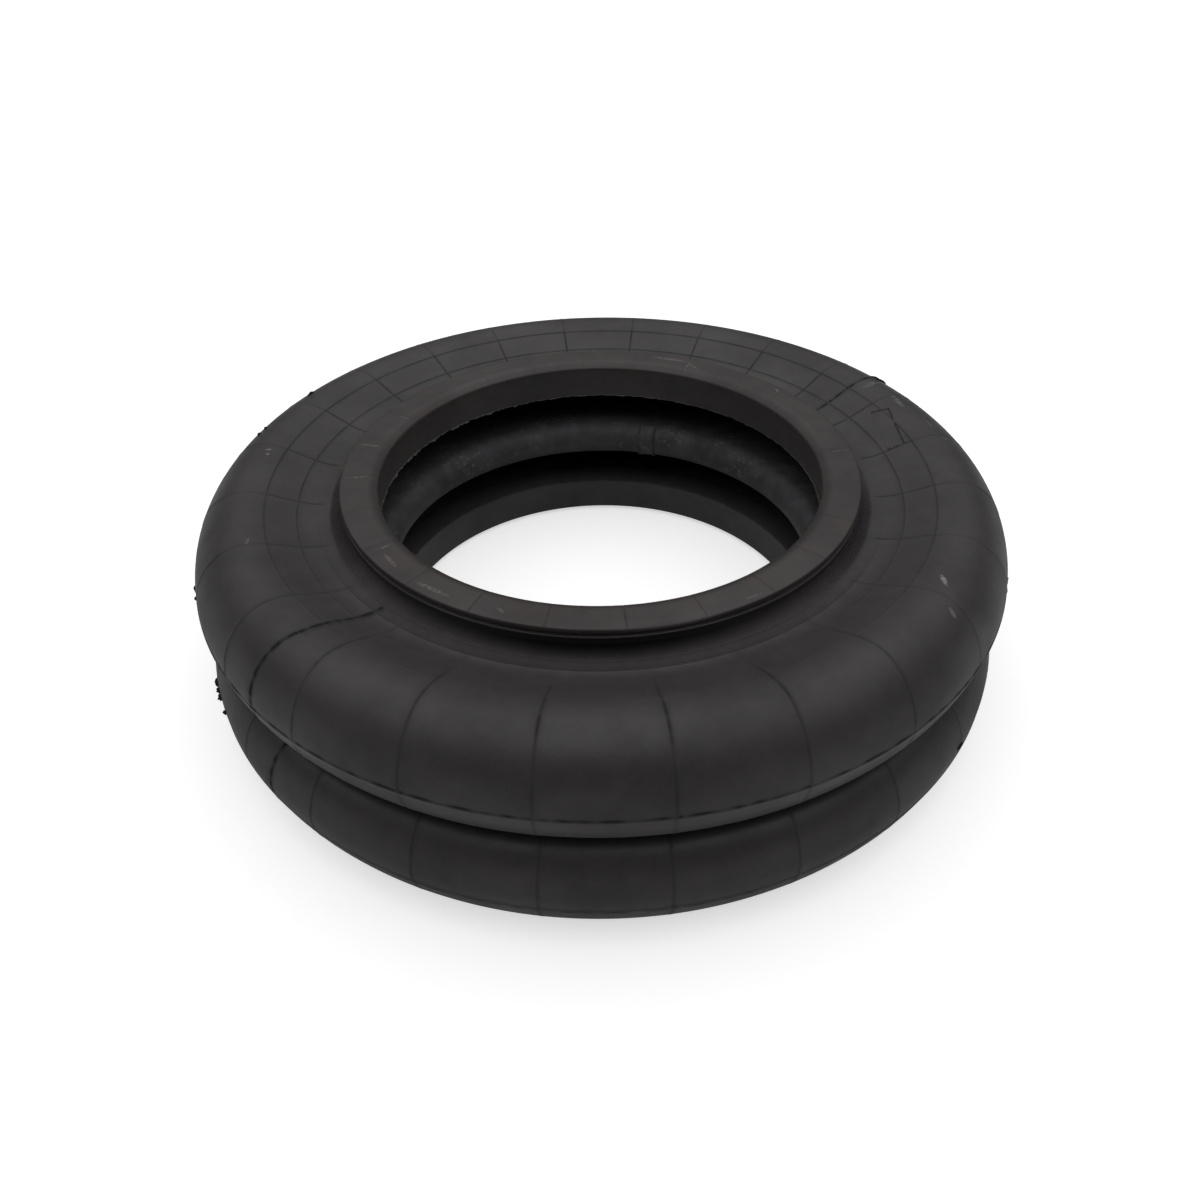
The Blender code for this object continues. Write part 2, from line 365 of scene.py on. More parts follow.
def rubber(name, base, bloom, warm=(0.06, 0.052, 0.042), warmth=0.25, rough=(0.38, 0.52),
           grain=0.1, specular=0.42, speckle=0.0, marks=(), mottle=0.3):
    """Moulded rubber: cloudy bloom, warm stain, fine grain and pale scuffs, with painted shade
    and a painted highlight read from attributes of the mesh.

    marks lists (centre in mm, degrees, half length, half width, strength)."""
    material, tree, shader = new_material(name)
    place = node(tree, "TexCoord", out="Object")
    cloud = span(tree, noise(tree, place, 28.0, 4.0), 0.36, 0.66)
    colour = mix(tree, cloud, base, bloom)
    stain = span(tree, noise(tree, place, 75.0), 0.52, 0.74, 0.0, warmth)
    colour = mix(tree, stain, colour, warm)
    smudge = span(tree, noise(tree, place, 130.0, 4.0, 0.65), 0.42, 0.68, 0.0, mottle)
    colour = mix(tree, smudge, colour, tuple(1.45 * c for c in bloom))
    fine = noise(tree, place, 1500.0, 2.0)
    colour = mix(tree, span(tree, fine, 0.3, 0.7, 0.0, 0.22), colour, base)
    # Painted shade: this attribute darkens the moulded lines, as painted shade along their ridges, and holds
    # the painted shadows above the parting line, under the foot's lips, in the rib valleys and along the
    # insert's edges; on the foot it also holds the real witness lines.
    line = node(tree, "Attribute", {"attribute_name": "dark_marks_and_shade"}, "Fac")
    colour = mix(tree, line, colour, (0.002, 0.002, 0.002))
    # Painted light: the pale attribute is a painted highlight on the lip under the upper parting line, with a
    # faint brighter band below it.
    pale = node(tree, "Attribute", {"attribute_name": "pale"}, "Fac")
    colour = mix(tree, pale, colour, (0.2, 0.19, 0.185))
    streak = span(tree, noise(tree, place, 700.0), 0.36, 0.56, 0.05, 1.0)
    # Pale scuffs from the marks; on the foot one of them is a painted highlight.
    for centre, degrees, length, width, strength in marks:
        mask = scratch(tree, place, centre, degrees, length, width)
        worn = times(tree, times(tree, mask, streak), strength)
        colour = mix(tree, worn, colour, (0.3, 0.28, 0.25))
    if speckle > 0:
        dots = node(tree, "TexVoronoi", out="Distance", Vector=place, Scale=420.0)
        patches = span(tree, noise(tree, place, 60.0, 2.0), 0.48, 0.62)
        dot = times(tree, span(tree, dots, 0.1, 0.42, speckle, 0.0), patches)
        colour = mix(tree, dot, colour, (0.17, 0.165, 0.155))
    satin = span(tree, cloud, 0.0, 1.0, rough[1], rough[0])
    matt = node(tree, "Mix", i0=line, i2=satin, i3=1.0)
    bump = node(tree, "Bump", Strength=grain, Distance=0.0006, Height=fine)
    plug(tree, shader, Base_Color=colour, Roughness=matt, Specular_IOR_Level=specular, Normal=bump)
    return material


def marks_at(height, table):
    """Marks at one height, from (radius, angle, lean, half length, half width, strength).

    A lean of 0 lies along the radius and 90 along the circle."""
    return tuple((tuple(spun(radius, height, math.radians(angle))), angle + lean, *rest)
                 for radius, angle, lean, *rest in table)


cover_marks = marks_at(77.0, (
    (133.4, -34.3, -55, 3.6, 1.0, 0.9), (141.2, -39.2, -30, 2.4, 1.1, 0.4), (133.3, 27.8, 0, 5.0, 1.8, 0.35),
    (133.7, 20.5, 80, 7.0, 1.4, 0.3), (136.0, 11.5, 95, 6.0, 0.5, 0.3), (137.3, 6.5, 0, 1.2, 1.2, 0.45),
    (131.0, 174.0, 20, 2.0, 0.7, 0.5), (130.2, 175.4, 60, 1.0, 0.7, 0.6), (130.7, -158.5, 70, 3.0, 0.6, 0.25),
))
foot_scuffs_and_highlight = marks_at(78.0, (
    (94.0, -125.3, 92, 8.5, 1.0, 0.3), (93.2, -138.8, 84, 5.5, 0.9, 0.25), (93.4, -109.8, 60, 2.5, 0.8, 0.25),
    (91.6, 170.8, -6, 5.0, 0.5, 0.5), (91.6, -174.4, 0, 5.0, 0.4, 0.38), (88.0, 155.3, 0, 3.5, 0.4, 0.3),
    (91.4, -143.9, 0, 4.0, 0.5, 0.3), (93.6, 70.0, 88, 10.0, 1.2, 0.28), (90.5, 62.0, 60, 4.0, 0.8, 0.24),
    # Painted highlight: the first entry on this line is the bright far edge of the flange, not a scuff.
    (97.6, 91.0, 90, 3.2, 0.5, 0.9), (94.6, 36.5, 70, 1.7, 0.6, 0.6), (90.5, 63.9, 0, 5.0, 0.4, 0.4),
    (93.0, 3.5, 10, 6.0, 0.4, 0.22), (95.5, -60.0, 88, 5.0, 0.5, 0.2),
))
cover_rubber = rubber(
    "cover_rubber", (0.032, 0.0284, 0.0296), (0.0448, 0.0403, 0.0417),
    marks=cover_marks)
foot_rubber = rubber(
    "foot_rubber", (0.0362, 0.0304, 0.0306), (0.05, 0.0427, 0.0428),
    warm=(0.07, 0.047, 0.032), warmth=0.34, marks=foot_scuffs_and_highlight)
# Painted light: a brighter copy of the foot rubber for the lower bead, standing in for the light on its bore
# wall.
low_foot_rubber_lit = rubber("low_foot_rubber_lit", (0.04, 0.038, 0.0412), (0.058, 0.0556, 0.06))
liner_rubber = rubber(
    "liner_rubber", (0.033, 0.031, 0.034), (0.062, 0.058, 0.063),
    rough=(0.55, 0.72), speckle=0.55, mottle=0.6)
# Painted sheen: a brighter, less glossy copy of the rubber, whose base colour stands in for the reflection
# its low specular leaves out.
grip_rubber_painted_sheen = rubber(
    "grip_rubber_painted_sheen", (0.068, 0.0606, 0.0626), (0.086, 0.0781, 0.0799),
    rough=(0.75, 0.88), specular=0.14)
flash_rubber = rubber("flash_rubber", (0.06, 0.058, 0.056), (0.12, 0.115, 0.11), rough=(0.55, 0.7))
print("rubber materials ready")

# %% Ply fabric and wire
def cord_fabric(name, lean):
    """Rubberised cord fabric: fine parallel cords that lean one way, seen only in a cut."""
    material, tree, shader = new_material(name)
    place = node(tree, "TexCoord", out="Object")
    leaned = node(tree, "Mapping", Vector=place, Rotation=(0.0, 0.0, lean))
    cords = node(tree, "TexWave", {"wave_type": "BANDS"}, "Fac", Vector=leaned,
                 Scale=160.0, Distortion=0.6, Detail=1.0)
    colour = mix(tree, cords, (0.055, 0.048, 0.036), (0.15, 0.13, 0.095))
    bump = node(tree, "Bump", Strength=0.5, Distance=0.0004, Height=cords)
    plug(tree, shader, Base_Color=colour, Roughness=0.85, Normal=bump)
    return material


def drawn_wire(name):
    """Bronze coated steel wire with fine drawing marks."""
    material, tree, shader = new_material(name)
    marks = noise(tree, node(tree, "TexCoord", out="Object"), 700.0, 2.0)
    colour = mix(tree, marks, (0.36, 0.31, 0.22), (0.58, 0.52, 0.4))
    sheen = span(tree, marks, 0.3, 0.7, 0.28, 0.45)
    plug(tree, shader, Base_Color=colour, Roughness=sheen, Metallic=1.0)
    return material


ply_out = cord_fabric("ply_cords_right", math.radians(38))
ply_in = cord_fabric("ply_cords_left", math.radians(-38))
steel = drawn_wire("bead_wire_steel")
print("ply and wire materials ready")

# %% [markdown]
# ## Vent lines and marks
#
# The mould is made in pieces, and rubber creeps a little into every joint and vent between
# them. That leaves two fine rings, a spoke every 15 degrees, a line round each crown, and two
# heavier seams. Most stand 0.16 mm proud. Each is a bell curve added along the normal,
# h exp(-(d / w)^2), where d is the distance from the line's middle. The lines are also
# painted dark, as painted shade along their ridges; above the upper parting line lies a
# painted shadow and below it a painted highlight.

# %% Where the lines lie
spoke_angles = np.radians(7.5 + 15.0 * np.arange(24))
ring_radii = np.array([113.9, 124.8]) * MM
seam_angles = np.radians([29.9, 226.4])
line_width = 0.38 * MM
line_height = 0.16 * MM
ring_s = np.interp(ring_radii, outer[rising, 0], outer_length[rising])
crease_s = np.interp(107.2 * MM, outer[rising, 0], outer_length[rising])


def bell(distance, width):
    """exp(-(d / w)^2)"""
    return np.exp(-(distance / width) ** 2)


def angle_apart(angles, centres):
    """Smallest signed angle between each angle and each centre, as (centres, angles)."""
    apart = angles[None, :] - centres[:, None]
    return (apart + np.pi) % (2 * np.pi) - np.pi


def from_angle(angles, *degrees):
    """How far each angle is from the nearest of the directions."""
    return np.abs(angle_apart(angles, np.radians(degrees))).min(0)


def ramp(x, start, end):
    """0 at start, 1 at end, straight between them and level outside."""
    return np.clip((x - start) / (end - start), 0, 1)


def wobble(x, seed):
    """Smooth made-up variation between 0 and 1: three sines of unlike periods."""
    total = np.sin(x * 3.1 + seed) + np.sin(x * 7.7 + seed * 2.3) + np.sin(x * 17.3 + seed * 5.1)
    return 0.5 + total / 6


def vent_relief(s, radius, angles, parting):
    """Painted shade and height of all moulded lines, both 0 to about 1, on the grid (s, angles).

    The darkness is painted shade along the ridges, with a painted shadow above the parting
    line. Rings and spokes are strong at the sides and the back, and fade at the front, where
    the mould is worn, most of all at the right. The seams are heavier, and the one at the back
    ends in a thick ridge."""
    s, radius = s[:, None], radius[:, None]
    front = bell(from_angle(angles, -90), 1.25)[None]
    rings = np.zeros((len(s), len(angles)))
    for k, centre in enumerate(ring_s):
        patchy = 0.6 + 0.4 * wobble(angles * 2, k + 1.0)
        rings += bell(s - centre, line_width) * (patchy * (1 - 0.95 * front))
    crease = bell(s - crease_s, 0.9 * MM) * front * 1.7
    ragged = np.clip((wobble(angles * 23, 4.0) - 0.42) * 6, 0.15, 1)
    # Painted shadow of the parting ridge, on the rubber just above it.
    parting_shadow = bell(s - parting + 0.4 * MM, 0.5 * MM) * ragged
    parting_lip = bell(s - parting - 0.35 * MM, 0.45 * MM) * np.full(len(angles), 1.6)
    shoulder = ramp(s, s_crest + 1 * MM, s_crest + 7 * MM)
    inner = ramp(s, s_crest - 5 * MM, s_crest - 10 * MM)
    near = ramp(radius, 113 * MM, 118 * MM) * (1 - 0.55 * ramp(radius, 138 * MM, 146 * MM))
    worn = 1 - 0.62 * bell(from_angle(angles, -30), 0.26)
    reach = np.maximum(shoulder * (0.9 - 0.4 * front), near * front) * worn
    reach = np.maximum(reach, np.maximum(0.45 * (1 - front), inner * (1 - 0.8 * front)))
    spokes = np.zeros_like(rings)
    for k, apart in enumerate(angle_apart(angles, spoke_angles)):
        faint = 0.55 + 0.45 * wobble(s / MM / 12, k * 1.7)
        line = bell(apart * radius, line_width * (1 + 0.8 * front))
        spokes += line * faint * reach * starts(s, 2.0)
    seams, ridge = np.zeros_like(rings), np.zeros_like(rings)
    for k, apart in enumerate(angle_apart(angles, seam_angles)):
        dashes = 0.45 + 0.55 * np.clip((wobble(s / MM / 4, k + 0.6) - 0.38) * 5, 0, 1)
        drift = np.radians(2.0) * ramp(radius, 132 * MM, 151 * MM) * k
        line = bell((apart + drift) * radius, line_width * (1.4 + 0.8 * k))
        seams += line * dashes * starts(s, 1.0) * 1.3
        ridge += line * (1 - k) * bell(radius - 139 * MM, 6 * MM) * 5
    # The darkness is painted shade along the ridges of the lines; the heights are the ridges.
    dark = np.clip(np.maximum.reduce([rings * 0.75, parting_shadow, spokes * 0.9, seams]), 0, 1)
    high = np.maximum.reduce([rings, crease, parting_lip, spokes, seams]) + ridge
    return dark, high


def starts(s, place):
    """0 before `place` millimetres along the line and 1 after it, with a soft step."""
    return 1 / (1 + np.exp(-(s - place * MM) / (0.5 * MM)))


def painted_lip_light(s, angles, parting):
    """Painted light under a parting line: a painted highlight on the lip, strongest at the left
    and right front, and a faint brighter band below it, standing in for light from the floor."""
    sides = bell(from_angle(angles, -138, -42), 0.42)
    along = (0.3 + 0.9 * sides) * (0.55 + 0.45 * wobble(angles * 9, 1.0))
    lip = 0.85 * bell(s[:, None] - parting - 0.85 * MM, 0.6 * MM) * along[None]
    return np.maximum(lip, 0.16 * np.clip((s[:, None] - parting) / MM - 0.5, 0, 1))


print("spokes, rings and seams", len(spoke_angles), len(ring_radii), len(seam_angles))

# %% [markdown]
# ## The cover
#
# The cover is the rubber skin of a convolution. It bends between three bodies, so it is
# made in three rings that meet edge to edge: the top, which stays with the bead, the side,
# and the lower ring. Rows lie close at the edges where two rings meet, so that both
# end with the same normal and the seam can't be seen.

# %% Build both covers
drifted = seam_angles[1] - np.radians([0.5, 1.0, 1.5, 2.0])
line_angles = np.hstack([spoke_angles, seam_angles, drifted])
angle_width = 1.4 * line_width / (135 * MM)
cover_angles = gathered(0, 2 * np.pi, np.radians(1.15), line_angles, angle_width)[:-1]
parting_lines = {"upper": s_crown, "lower": s_crown - 5.5 * MM}


def edge_rows(start, end, step, parting):
    """Rows along the outer line, closer at both ends and across its lines."""
    rows = gathered(start, end, step, np.array([*ring_s, crease_s, parting]), line_width)
    near = np.array([0.15, 0.5, 1.0]) * MM
    rows = np.hstack([rows, parting + np.arange(-5, 6) * 0.25 * MM])
    rows = rows[(rows >= start) & (rows <= end)]
    return np.unique(np.hstack([rows, start + near, end - near]))


def cover_grid(start, end, step, parting):
    """Outer skin with its relief, then the inner skin back again, one cover thickness deeper."""
    s = edge_rows(start, end, step, parting)
    point, normal = at(outer, s)
    dark_marks_and_shade, high = vent_relief(s, point[:, 0], cover_angles, parting)
    grid = turned(point, cover_angles)
    grid = grid + turned(normal, cover_angles) * (high * line_height)[..., None]
    back_s = np.linspace(end, start, max(int((end - start) / (4 * MM)), 4))
    back_point, back_normal = at(outer, back_s)
    back = turned(back_point - back_normal * cover_t, cover_angles)
    flat = np.zeros(back.shape[:2])
    # Painted light under the upper parting line.
    pale = painted_lip_light(s, cover_angles, parting) * (parting == s_crown)
    marks = {"dark_marks_and_shade": np.vstack([dark_marks_and_shade * 0.92, flat]), "pale": np.vstack([pale, flat])}
    return np.vstack([grid, back]), marks


def half_place(side, grid):
    """The grid as drawn for the upper half, upside down for the lower half."""
    return grid if side == "upper" else upside_down(grid)


def carry(piece, side, part):
    """Puts a ring on its bodies: the top is attached to its bead, and the side and the underside
    keep their places baked into their points."""
    wall, bead = side + "_wall", side + "_bead"
    if part == "top":
        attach(piece, bead)
    elif part == "side":
        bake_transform(piece)
    else:
        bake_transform(piece)


part_names = ("top", "side", "under")
cuts = (0.0, s_crest, s_split, s_end)
for side in ("upper", "lower"):
    for part, start, end in zip(part_names, cuts, cuts[1:]):
        grid, marks = cover_grid(start, end, 1.9 * MM, parting_lines[side])
        piece = ring_mesh(f"cover_{side}_{part}", half_place(side, grid), cover_rubber, marks)
        carry(piece, side, part)
        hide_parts("cover_" + side)
        print(piece.name, len(piece.data.polygons), "faces")

# %% [markdown]
# ## Plies and liner
#
# Under the cover lie two plies of cord fabric, whose cords lean opposite ways, and a soft
# liner that keeps the air in. In the bead the outer ply runs over the wire bundle and the
# inner ply under it and up its bore side. They are the same line, shifted deeper, with the
# turn round the wire put in front.

# %% Build the inner layers
wall_samples = 700
wire_z = valley - inner_ply_depth + gap + wire_radius


def wall_line(depth, turn):
    """The outer line shifted inwards by depth, with the turn in the bead in front of it."""
    point, normal = at(outer, np.linspace(0, s_end, wall_samples))
    return np.vstack([turn, point - normal * depth])


def layer_turns():
    """Middle lines of both plies inside the bead, and the start of the liner's line."""
    over = wire_z + wire_radius + gap + ply_t / 2
    side_r = wire_ring - wire_radius - gap - ply_t / 2
    outer_low = valley - outer_ply_depth - ply_t / 2
    inner_low = valley - inner_ply_depth - ply_t / 2
    liner_low = valley - liner_depth - liner_t / 2
    half = 1.5 * MM
    outer_turn = [(wire_ring - half, over), (wire_ring + half, over), (foot_radius + gap, outer_low)]
    inner_turn = [(side_r, wire_z + half), (side_r, inner_low), (foot_radius, inner_low)]
    liner_turn = [(foot_radius + gap, liner_low)]
    return np.array(outer_turn), np.array(inner_turn), np.array(liner_turn)


outer_turn, inner_turn, liner_turn = layer_turns()
layers = (
    ("outer_ply", outer_ply_depth, ply_t, outer_turn, ply_out, "ply_fabric"),
    ("inner_ply", inner_ply_depth, ply_t, inner_turn, ply_in, "ply_fabric"),
    ("liner", liner_depth, liner_t, liner_turn, liner_rubber, "liner_rubber"),
)
layer_angles = even_angles(240)


def layer_grid(line, start, end, thickness, step=2.0 * MM):
    """Both faces of a strip between two arc lengths: middle line plus and minus t/2 normals."""
    length = measured(line)
    corners = length[:4][(length[:4] > start) & (length[:4] < end)]
    s = np.unique(np.hstack([np.linspace(start, end, int((end - start) / step) + 2), corners]))
    point, normal = at(line, s)
    return np.vstack([
        turned(point + normal * thickness / 2, layer_angles),
        turned(point[::-1] - normal[::-1] * thickness / 2, layer_angles),
    ])


for side in ("upper", "lower"):
    for name, depth, thickness, turn, material, slot in layers:
        line = wall_line(depth + thickness / 2, turn)
        length = measured(line)
        split_at = [len(turn) + int(wall_samples * s / s_end) for s in (s_crest, s_split)]
        own_cuts = [0.0, *length[split_at], length[-1]]
        for part, start, end in zip(part_names, own_cuts, own_cuts[1:]):
            grid = half_place(side, layer_grid(line, start, end, thickness))
            piece = ring_mesh(f"{name}_{side}_{part}", grid, material)
            carry(piece, side, part)
            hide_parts(f"{name}_{side}")
    print(side, "layers built")

# %% [markdown]
# ## The bead foot
#
# An end plate clamps this rim, so it is the thickest rubber of the part. Its top is flat and
# dips a little towards the bore. The outside has a thin lip, a narrow groove and a second lip,
# and below them a hollow band with hundreds of fine ribs. The outline is a closed list of
# corners, each rounded by a small curve, because a mould can't cut a sharp corner.

# %% Build both bead feet
def grip_line(t):
    """Hollow band under the lip, a pulled curve from the lip to the rim."""
    lip = np.array([foot_radius, free_height - 5.2 * MM])
    corner = np.array([foot_radius + 0.3 * MM, valley + 0.35 * MM])
    return pulled(t[:, None], lip, corner, np.array([band_radius, valley]))


def foot_corners():
    """Corners of the foot's section and how far each is rounded, both in metres."""
    floor = valley - inner_ply_depth - ply_t - gap
    cavity = inner_turn[0, 0] - ply_t / 2 - gap
    roof = outer_turn[0, 1] + ply_t / 2 + gap
    top = free_height
    low_lip = top - 3.3 * MM
    groove = foot_radius - 0.9 * MM
    table = np.array([
        (mouth_radius, top - 2.2 * MM, 1.0), (mouth_radius + 3.4 * MM, top, 1.6),
        (foot_radius, top, 0.8), (foot_radius, top - 1.9 * MM, 0.35),
        (groove, top - 2.3 * MM, 0.3), (groove, low_lip + 0.3 * MM, 0.3),
        (foot_radius, low_lip, 0.35), *((r, z, 0.2) for r, z in grip_line(np.linspace(0, 1, 7))),
        (band_radius, valley - cover_t, 0.2),
        (foot_radius + 0.8 * MM, valley - cover_t, 0.3), (wire_ring + 1.9 * MM, roof, 0.3),
        (cavity, roof, 0.3), (cavity, floor, 0.3), (foot_radius, floor, 0.2),
        (foot_radius, foot_underside, 0.5), (bore_radius, foot_underside, 0.25),
    ])
    return table[:, :2], table[:, 2] * MM


witness_angles = np.radians(4.5 + 15.0 * np.arange(24))
witness_width = 0.38 * MM
foot_angles = gathered(0, 2 * np.pi, np.radians(1.4), witness_angles, witness_width / (91 * MM))[:-1]
foot_line = rounded(*foot_corners())


def refined(line, step):
    """Closed line with its long sides divided, so that no step is longer than `step`."""
    closed = np.vstack([line, line[:1]])
    length = measured(closed)
    even = np.linspace(0, length[-1], int(length[-1] / step) + 1)[:-1]
    s = np.unique(np.hstack([length[:-1], even]))
    s = s[np.hstack([[True], np.diff(s) > 0.05 * MM])]
    return np.stack([np.interp(s, length, closed[:, k]) for k in (0, 1)], -1)


foot_line = refined(foot_line, 1.5 * MM)
on_face = (foot_line[:, 1] > free_height - 2.6 * MM) & (foot_line[:, 0] < foot_radius)
witness = np.zeros((len(foot_line), len(foot_angles)))
for k, apart in enumerate(angle_apart(foot_angles, witness_angles)):
    fade = 0.35 + 0.65 * wobble(foot_line[:, 0] / MM / 4 + k, k * 2.1)[:, None]
    faint = 0.35 + 0.65 * np.clip(-np.sin(witness_angles[k]), 0, 1)
    witness += bell(apart * foot_line[:, :1], witness_width) * fade * faint * on_face[:, None]
trimmed = bell(from_angle(foot_angles, -77), np.radians(9))
trimmed = trimmed + 0.25 * np.clip(wobble(foot_angles * 6, 3.3) - 0.5, 0, 1)
near_rim = ramp(foot_line[:, 0], foot_radius - 1.7 * MM, foot_radius)
near_rim = near_rim * (foot_line[:, 1] > free_height - 1.0 * MM)
below_lips = (foot_line[:, 1] < free_height - 3.4 * MM) & (foot_line[:, 0] > foot_radius - 0.2 * MM)


def painted_lip_shadow(angles):
    """Painted shadow of the lips on the band under them, darkest at the front: 0.95 exp(-(a / 0.9)^2)."""
    return 0.95 * bell(from_angle(angles, -90), 0.9)


# Painted shadow of the lips on the band below them, at the front, mixed below with the real witness lines.
lip_shadow = below_lips[:, None] * painted_lip_shadow(foot_angles)
foot_rubbers = {"upper": foot_rubber, "lower": low_foot_rubber_lit}
witness_and_lip_shadow = {"dark_marks_and_shade": np.maximum(witness * 0.5, lip_shadow)}
for side in ("upper", "lower"):
    grid = turned(foot_line, foot_angles)
    grid[..., 2] -= witness * 0.1 * MM + near_rim[:, None] * trimmed * 0.8 * MM
    piece = ring_mesh("foot_" + side, half_place(side, grid), foot_rubbers[side], witness_and_lip_shadow)
    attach(piece, side + "_bead")
    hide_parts("bead_foot_" + side)
print("bead foot rows and columns", grid.shape[:2])

# %% Fine grip ribs on the hollow band of each foot
rib_count = 490
rib_height = 0.28 * MM
rib_angles = even_angles(rib_count * 4)


def rib_grid():
    """The hollow band again, raised by h k (1 + cos(n a)) / 2 along its normal, where k is 1
    at the left and the right and sinks to 0.06 between them."""
    t = np.linspace(0.04, 1, 9)
    line = grip_line(t)
    normal = normals(line)
    fade = np.clip(np.minimum(t - t[0], 1 - t) * 8, 0, 1)[:, None]
    strength = 0.06 + 0.94 * bell(from_angle(rib_angles, 192, -22), 0.5)
    wave = strength * (1 + np.cos(rib_count * rib_angles)) / 2
    raised = turned(line + normal * 0.03 * MM, rib_angles)
    raised = raised + turned(normal * fade, rib_angles) * (rib_height * wave)[None, :, None]
    sunk = turned(line[::-4] - normal[::-4] * 0.35 * MM, rib_angles)
    # Painted shade: darker in the valleys between the ribs, and the lips' painted shadow at the front.
    under_lip = painted_lip_shadow(rib_angles)[None] * (1.05 - 0.7 * t[:, None] ** 2)
    shade = np.maximum((strength - wave)[None] * fade, under_lip)
    shade = np.vstack([shade, np.zeros((len(sunk), len(rib_angles)))])
    return np.vstack([raised, sunk]), shade


for side in ("upper", "lower"):
    grid, shade = rib_grid()
    piece = ring_mesh("grip_ribs_" + side, half_place(side, grid), grip_rubber_painted_sheen, {"dark_marks_and_shade": shade})
    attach(piece, side + "_bead")
print(rib_count, "ribs of", round(2 * math.pi * band_radius / rib_count / MM, 2), "mm pitch")

# %% [markdown]
# ## Inside the bead and the girdle
#
# The wires are wound as one bundle, so their section has a lobe for each strand on its
# outside. The girdle has the same layers as the wall, bent round a rubber cushion, with a
# hoop behind it that keeps it from growing.

# %% Wires, fillers and hoop
def bundle_line(ring, height, radius, strands):
    """Section of a wire bundle: rho = radius (1 - 0.09 (1 - |cos(strands t / 2)|))."""
    t = np.linspace(0, 2 * np.pi, strands * 8, endpoint=False)
    rho = radius * (1 - 0.09 * (1 - np.abs(np.cos(strands * t / 2))))
    return np.stack([ring + rho * np.cos(t), height + rho * np.sin(t)], -1)


def filler_line():
    """Wedge of rubber between the wire and the plies that part around it."""
    side_r = wire_ring + wire_radius + gap
    base = valley - inner_ply_depth + gap
    low = np.array([foot_radius + gap, valley - outer_ply_depth - ply_t - gap])
    high = np.array([wire_ring + 1.1 * MM, outer_turn[1, 1] - ply_t / 2 - gap])
    rise = high[1] + (low[1] - high[1]) * (side_r - high[0]) / (low[0] - high[0])
    reach = high[0] + (low[0] - high[0]) * (base + gap - high[1]) / (low[1] - high[1])
    corners = [(side_r, base), (side_r, rise - gap), (reach - gap, base + gap), (reach - gap, base)]
    return rounded(corners, 0.3 * MM, 3)


wire_grid = turned(bundle_line(wire_ring, wire_z, wire_radius, 9), layer_angles)
filler_grid = turned(filler_line(), layer_angles)
for side in ("upper", "lower"):
    wire = ring_mesh("wire_bundle_" + side, half_place(side, wire_grid), steel)
    filler = ring_mesh("filler_wedge_" + side, half_place(side, filler_grid), foot_rubber)
    for piece, solid, slot in ((wire, "bead_wire_", "bead_steel"), (filler, "bead_filler_", "rubber")):
        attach(piece, side + "_bead")
        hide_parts(solid + side)
hoop_ring = girdle_outer - 2 * cover_t - gap - hoop_radius
hoop_grid = turned(bundle_line(hoop_ring, middle, hoop_radius, 10), layer_angles)
hoop = ring_mesh("hoop_bundle", hoop_grid, steel)
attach(hoop, "girdle")
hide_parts("girdle_hoop")
print("hoop at radius %.1f mm" % (hoop_ring / MM))

# %% Girdle layers
arc_radius = half_slit + wall_t
arc_centre = girdle_inner + arc_radius


def girdle_arc(radius, count):
    """Half circle round the girdle's bore side, from the top to the bottom."""
    t = np.linspace(np.pi / 2, 3 * np.pi / 2, count)
    return np.stack([arc_centre + radius * np.cos(t), middle + radius * np.sin(t)], -1)


def girdle_grid(depth, thickness, angles):
    """A strip that runs in along the top, round the bore side in a half circle, and out below."""
    radius = half_slit + depth + thickness / 2
    out = np.linspace(girdle_outer, arc_centre, 7)[:-1]
    top = np.stack([out, np.full_like(out, middle + radius)], -1)
    below = (top * [1, -1] + [0, 2 * middle])[::-1]
    line = np.vstack([top, girdle_arc(radius, 25), below])
    side = normals(line) * thickness / 2
    return np.vstack([turned(line + side, angles), turned((line - side)[::-1], angles)])


girdle_angles = even_angles(360)
girdle_pieces = [
    ("girdle_liner", girdle_grid(liner_depth, liner_t, girdle_angles), liner_rubber, "liner_rubber"),
    ("girdle_inner_ply", girdle_grid(inner_ply_depth, ply_t, layer_angles), ply_in, "ply_fabric"),
    ("girdle_outer_ply", girdle_grid(outer_ply_depth, ply_t, layer_angles), ply_out, "ply_fabric"),
]
cushion_half = half_slit + cover_t
cushion_top, cushion_low = middle + cushion_half, middle - cushion_half
cushion_back = hoop_ring - hoop_radius - gap
cushion_line = np.array([(cushion_back, cushion_top), *girdle_arc(cushion_half, 13),
                         (cushion_back, cushion_low)])
girdle_pieces.append(("girdle_cushion", turned(cushion_line, layer_angles), foot_rubber, "rubber"))
band_back = girdle_outer - 2 * cover_t
band_line = rounded([
    (band_back, cushion_top), (girdle_outer, cushion_top), (girdle_outer, middle + half_slit),
    (girdle_outer - cover_t / 2, middle), (girdle_outer, middle - half_slit),
    (girdle_outer, cushion_low), (band_back, cushion_low)], 0.8 * MM)
girdle_pieces.append(("girdle_outer_band", turned(band_line, girdle_angles), cover_rubber, "rubber"))
for name, grid, material, slot in girdle_pieces:
    piece = ring_mesh(name + "_ring", grid, material)
    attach(piece, "girdle")
    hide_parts(name)
print(len(girdle_pieces), "girdle layers")

# %% [markdown]
# ## Small things that tell how it was made
#
# A strip covers the joint of the liner on the girdle's bore side. Rubber that crept out of the
# mould leaves a ragged thin edge round the bottom of the bore wall. A blank insert of the
# mould shows as a small raised rectangle on the top.

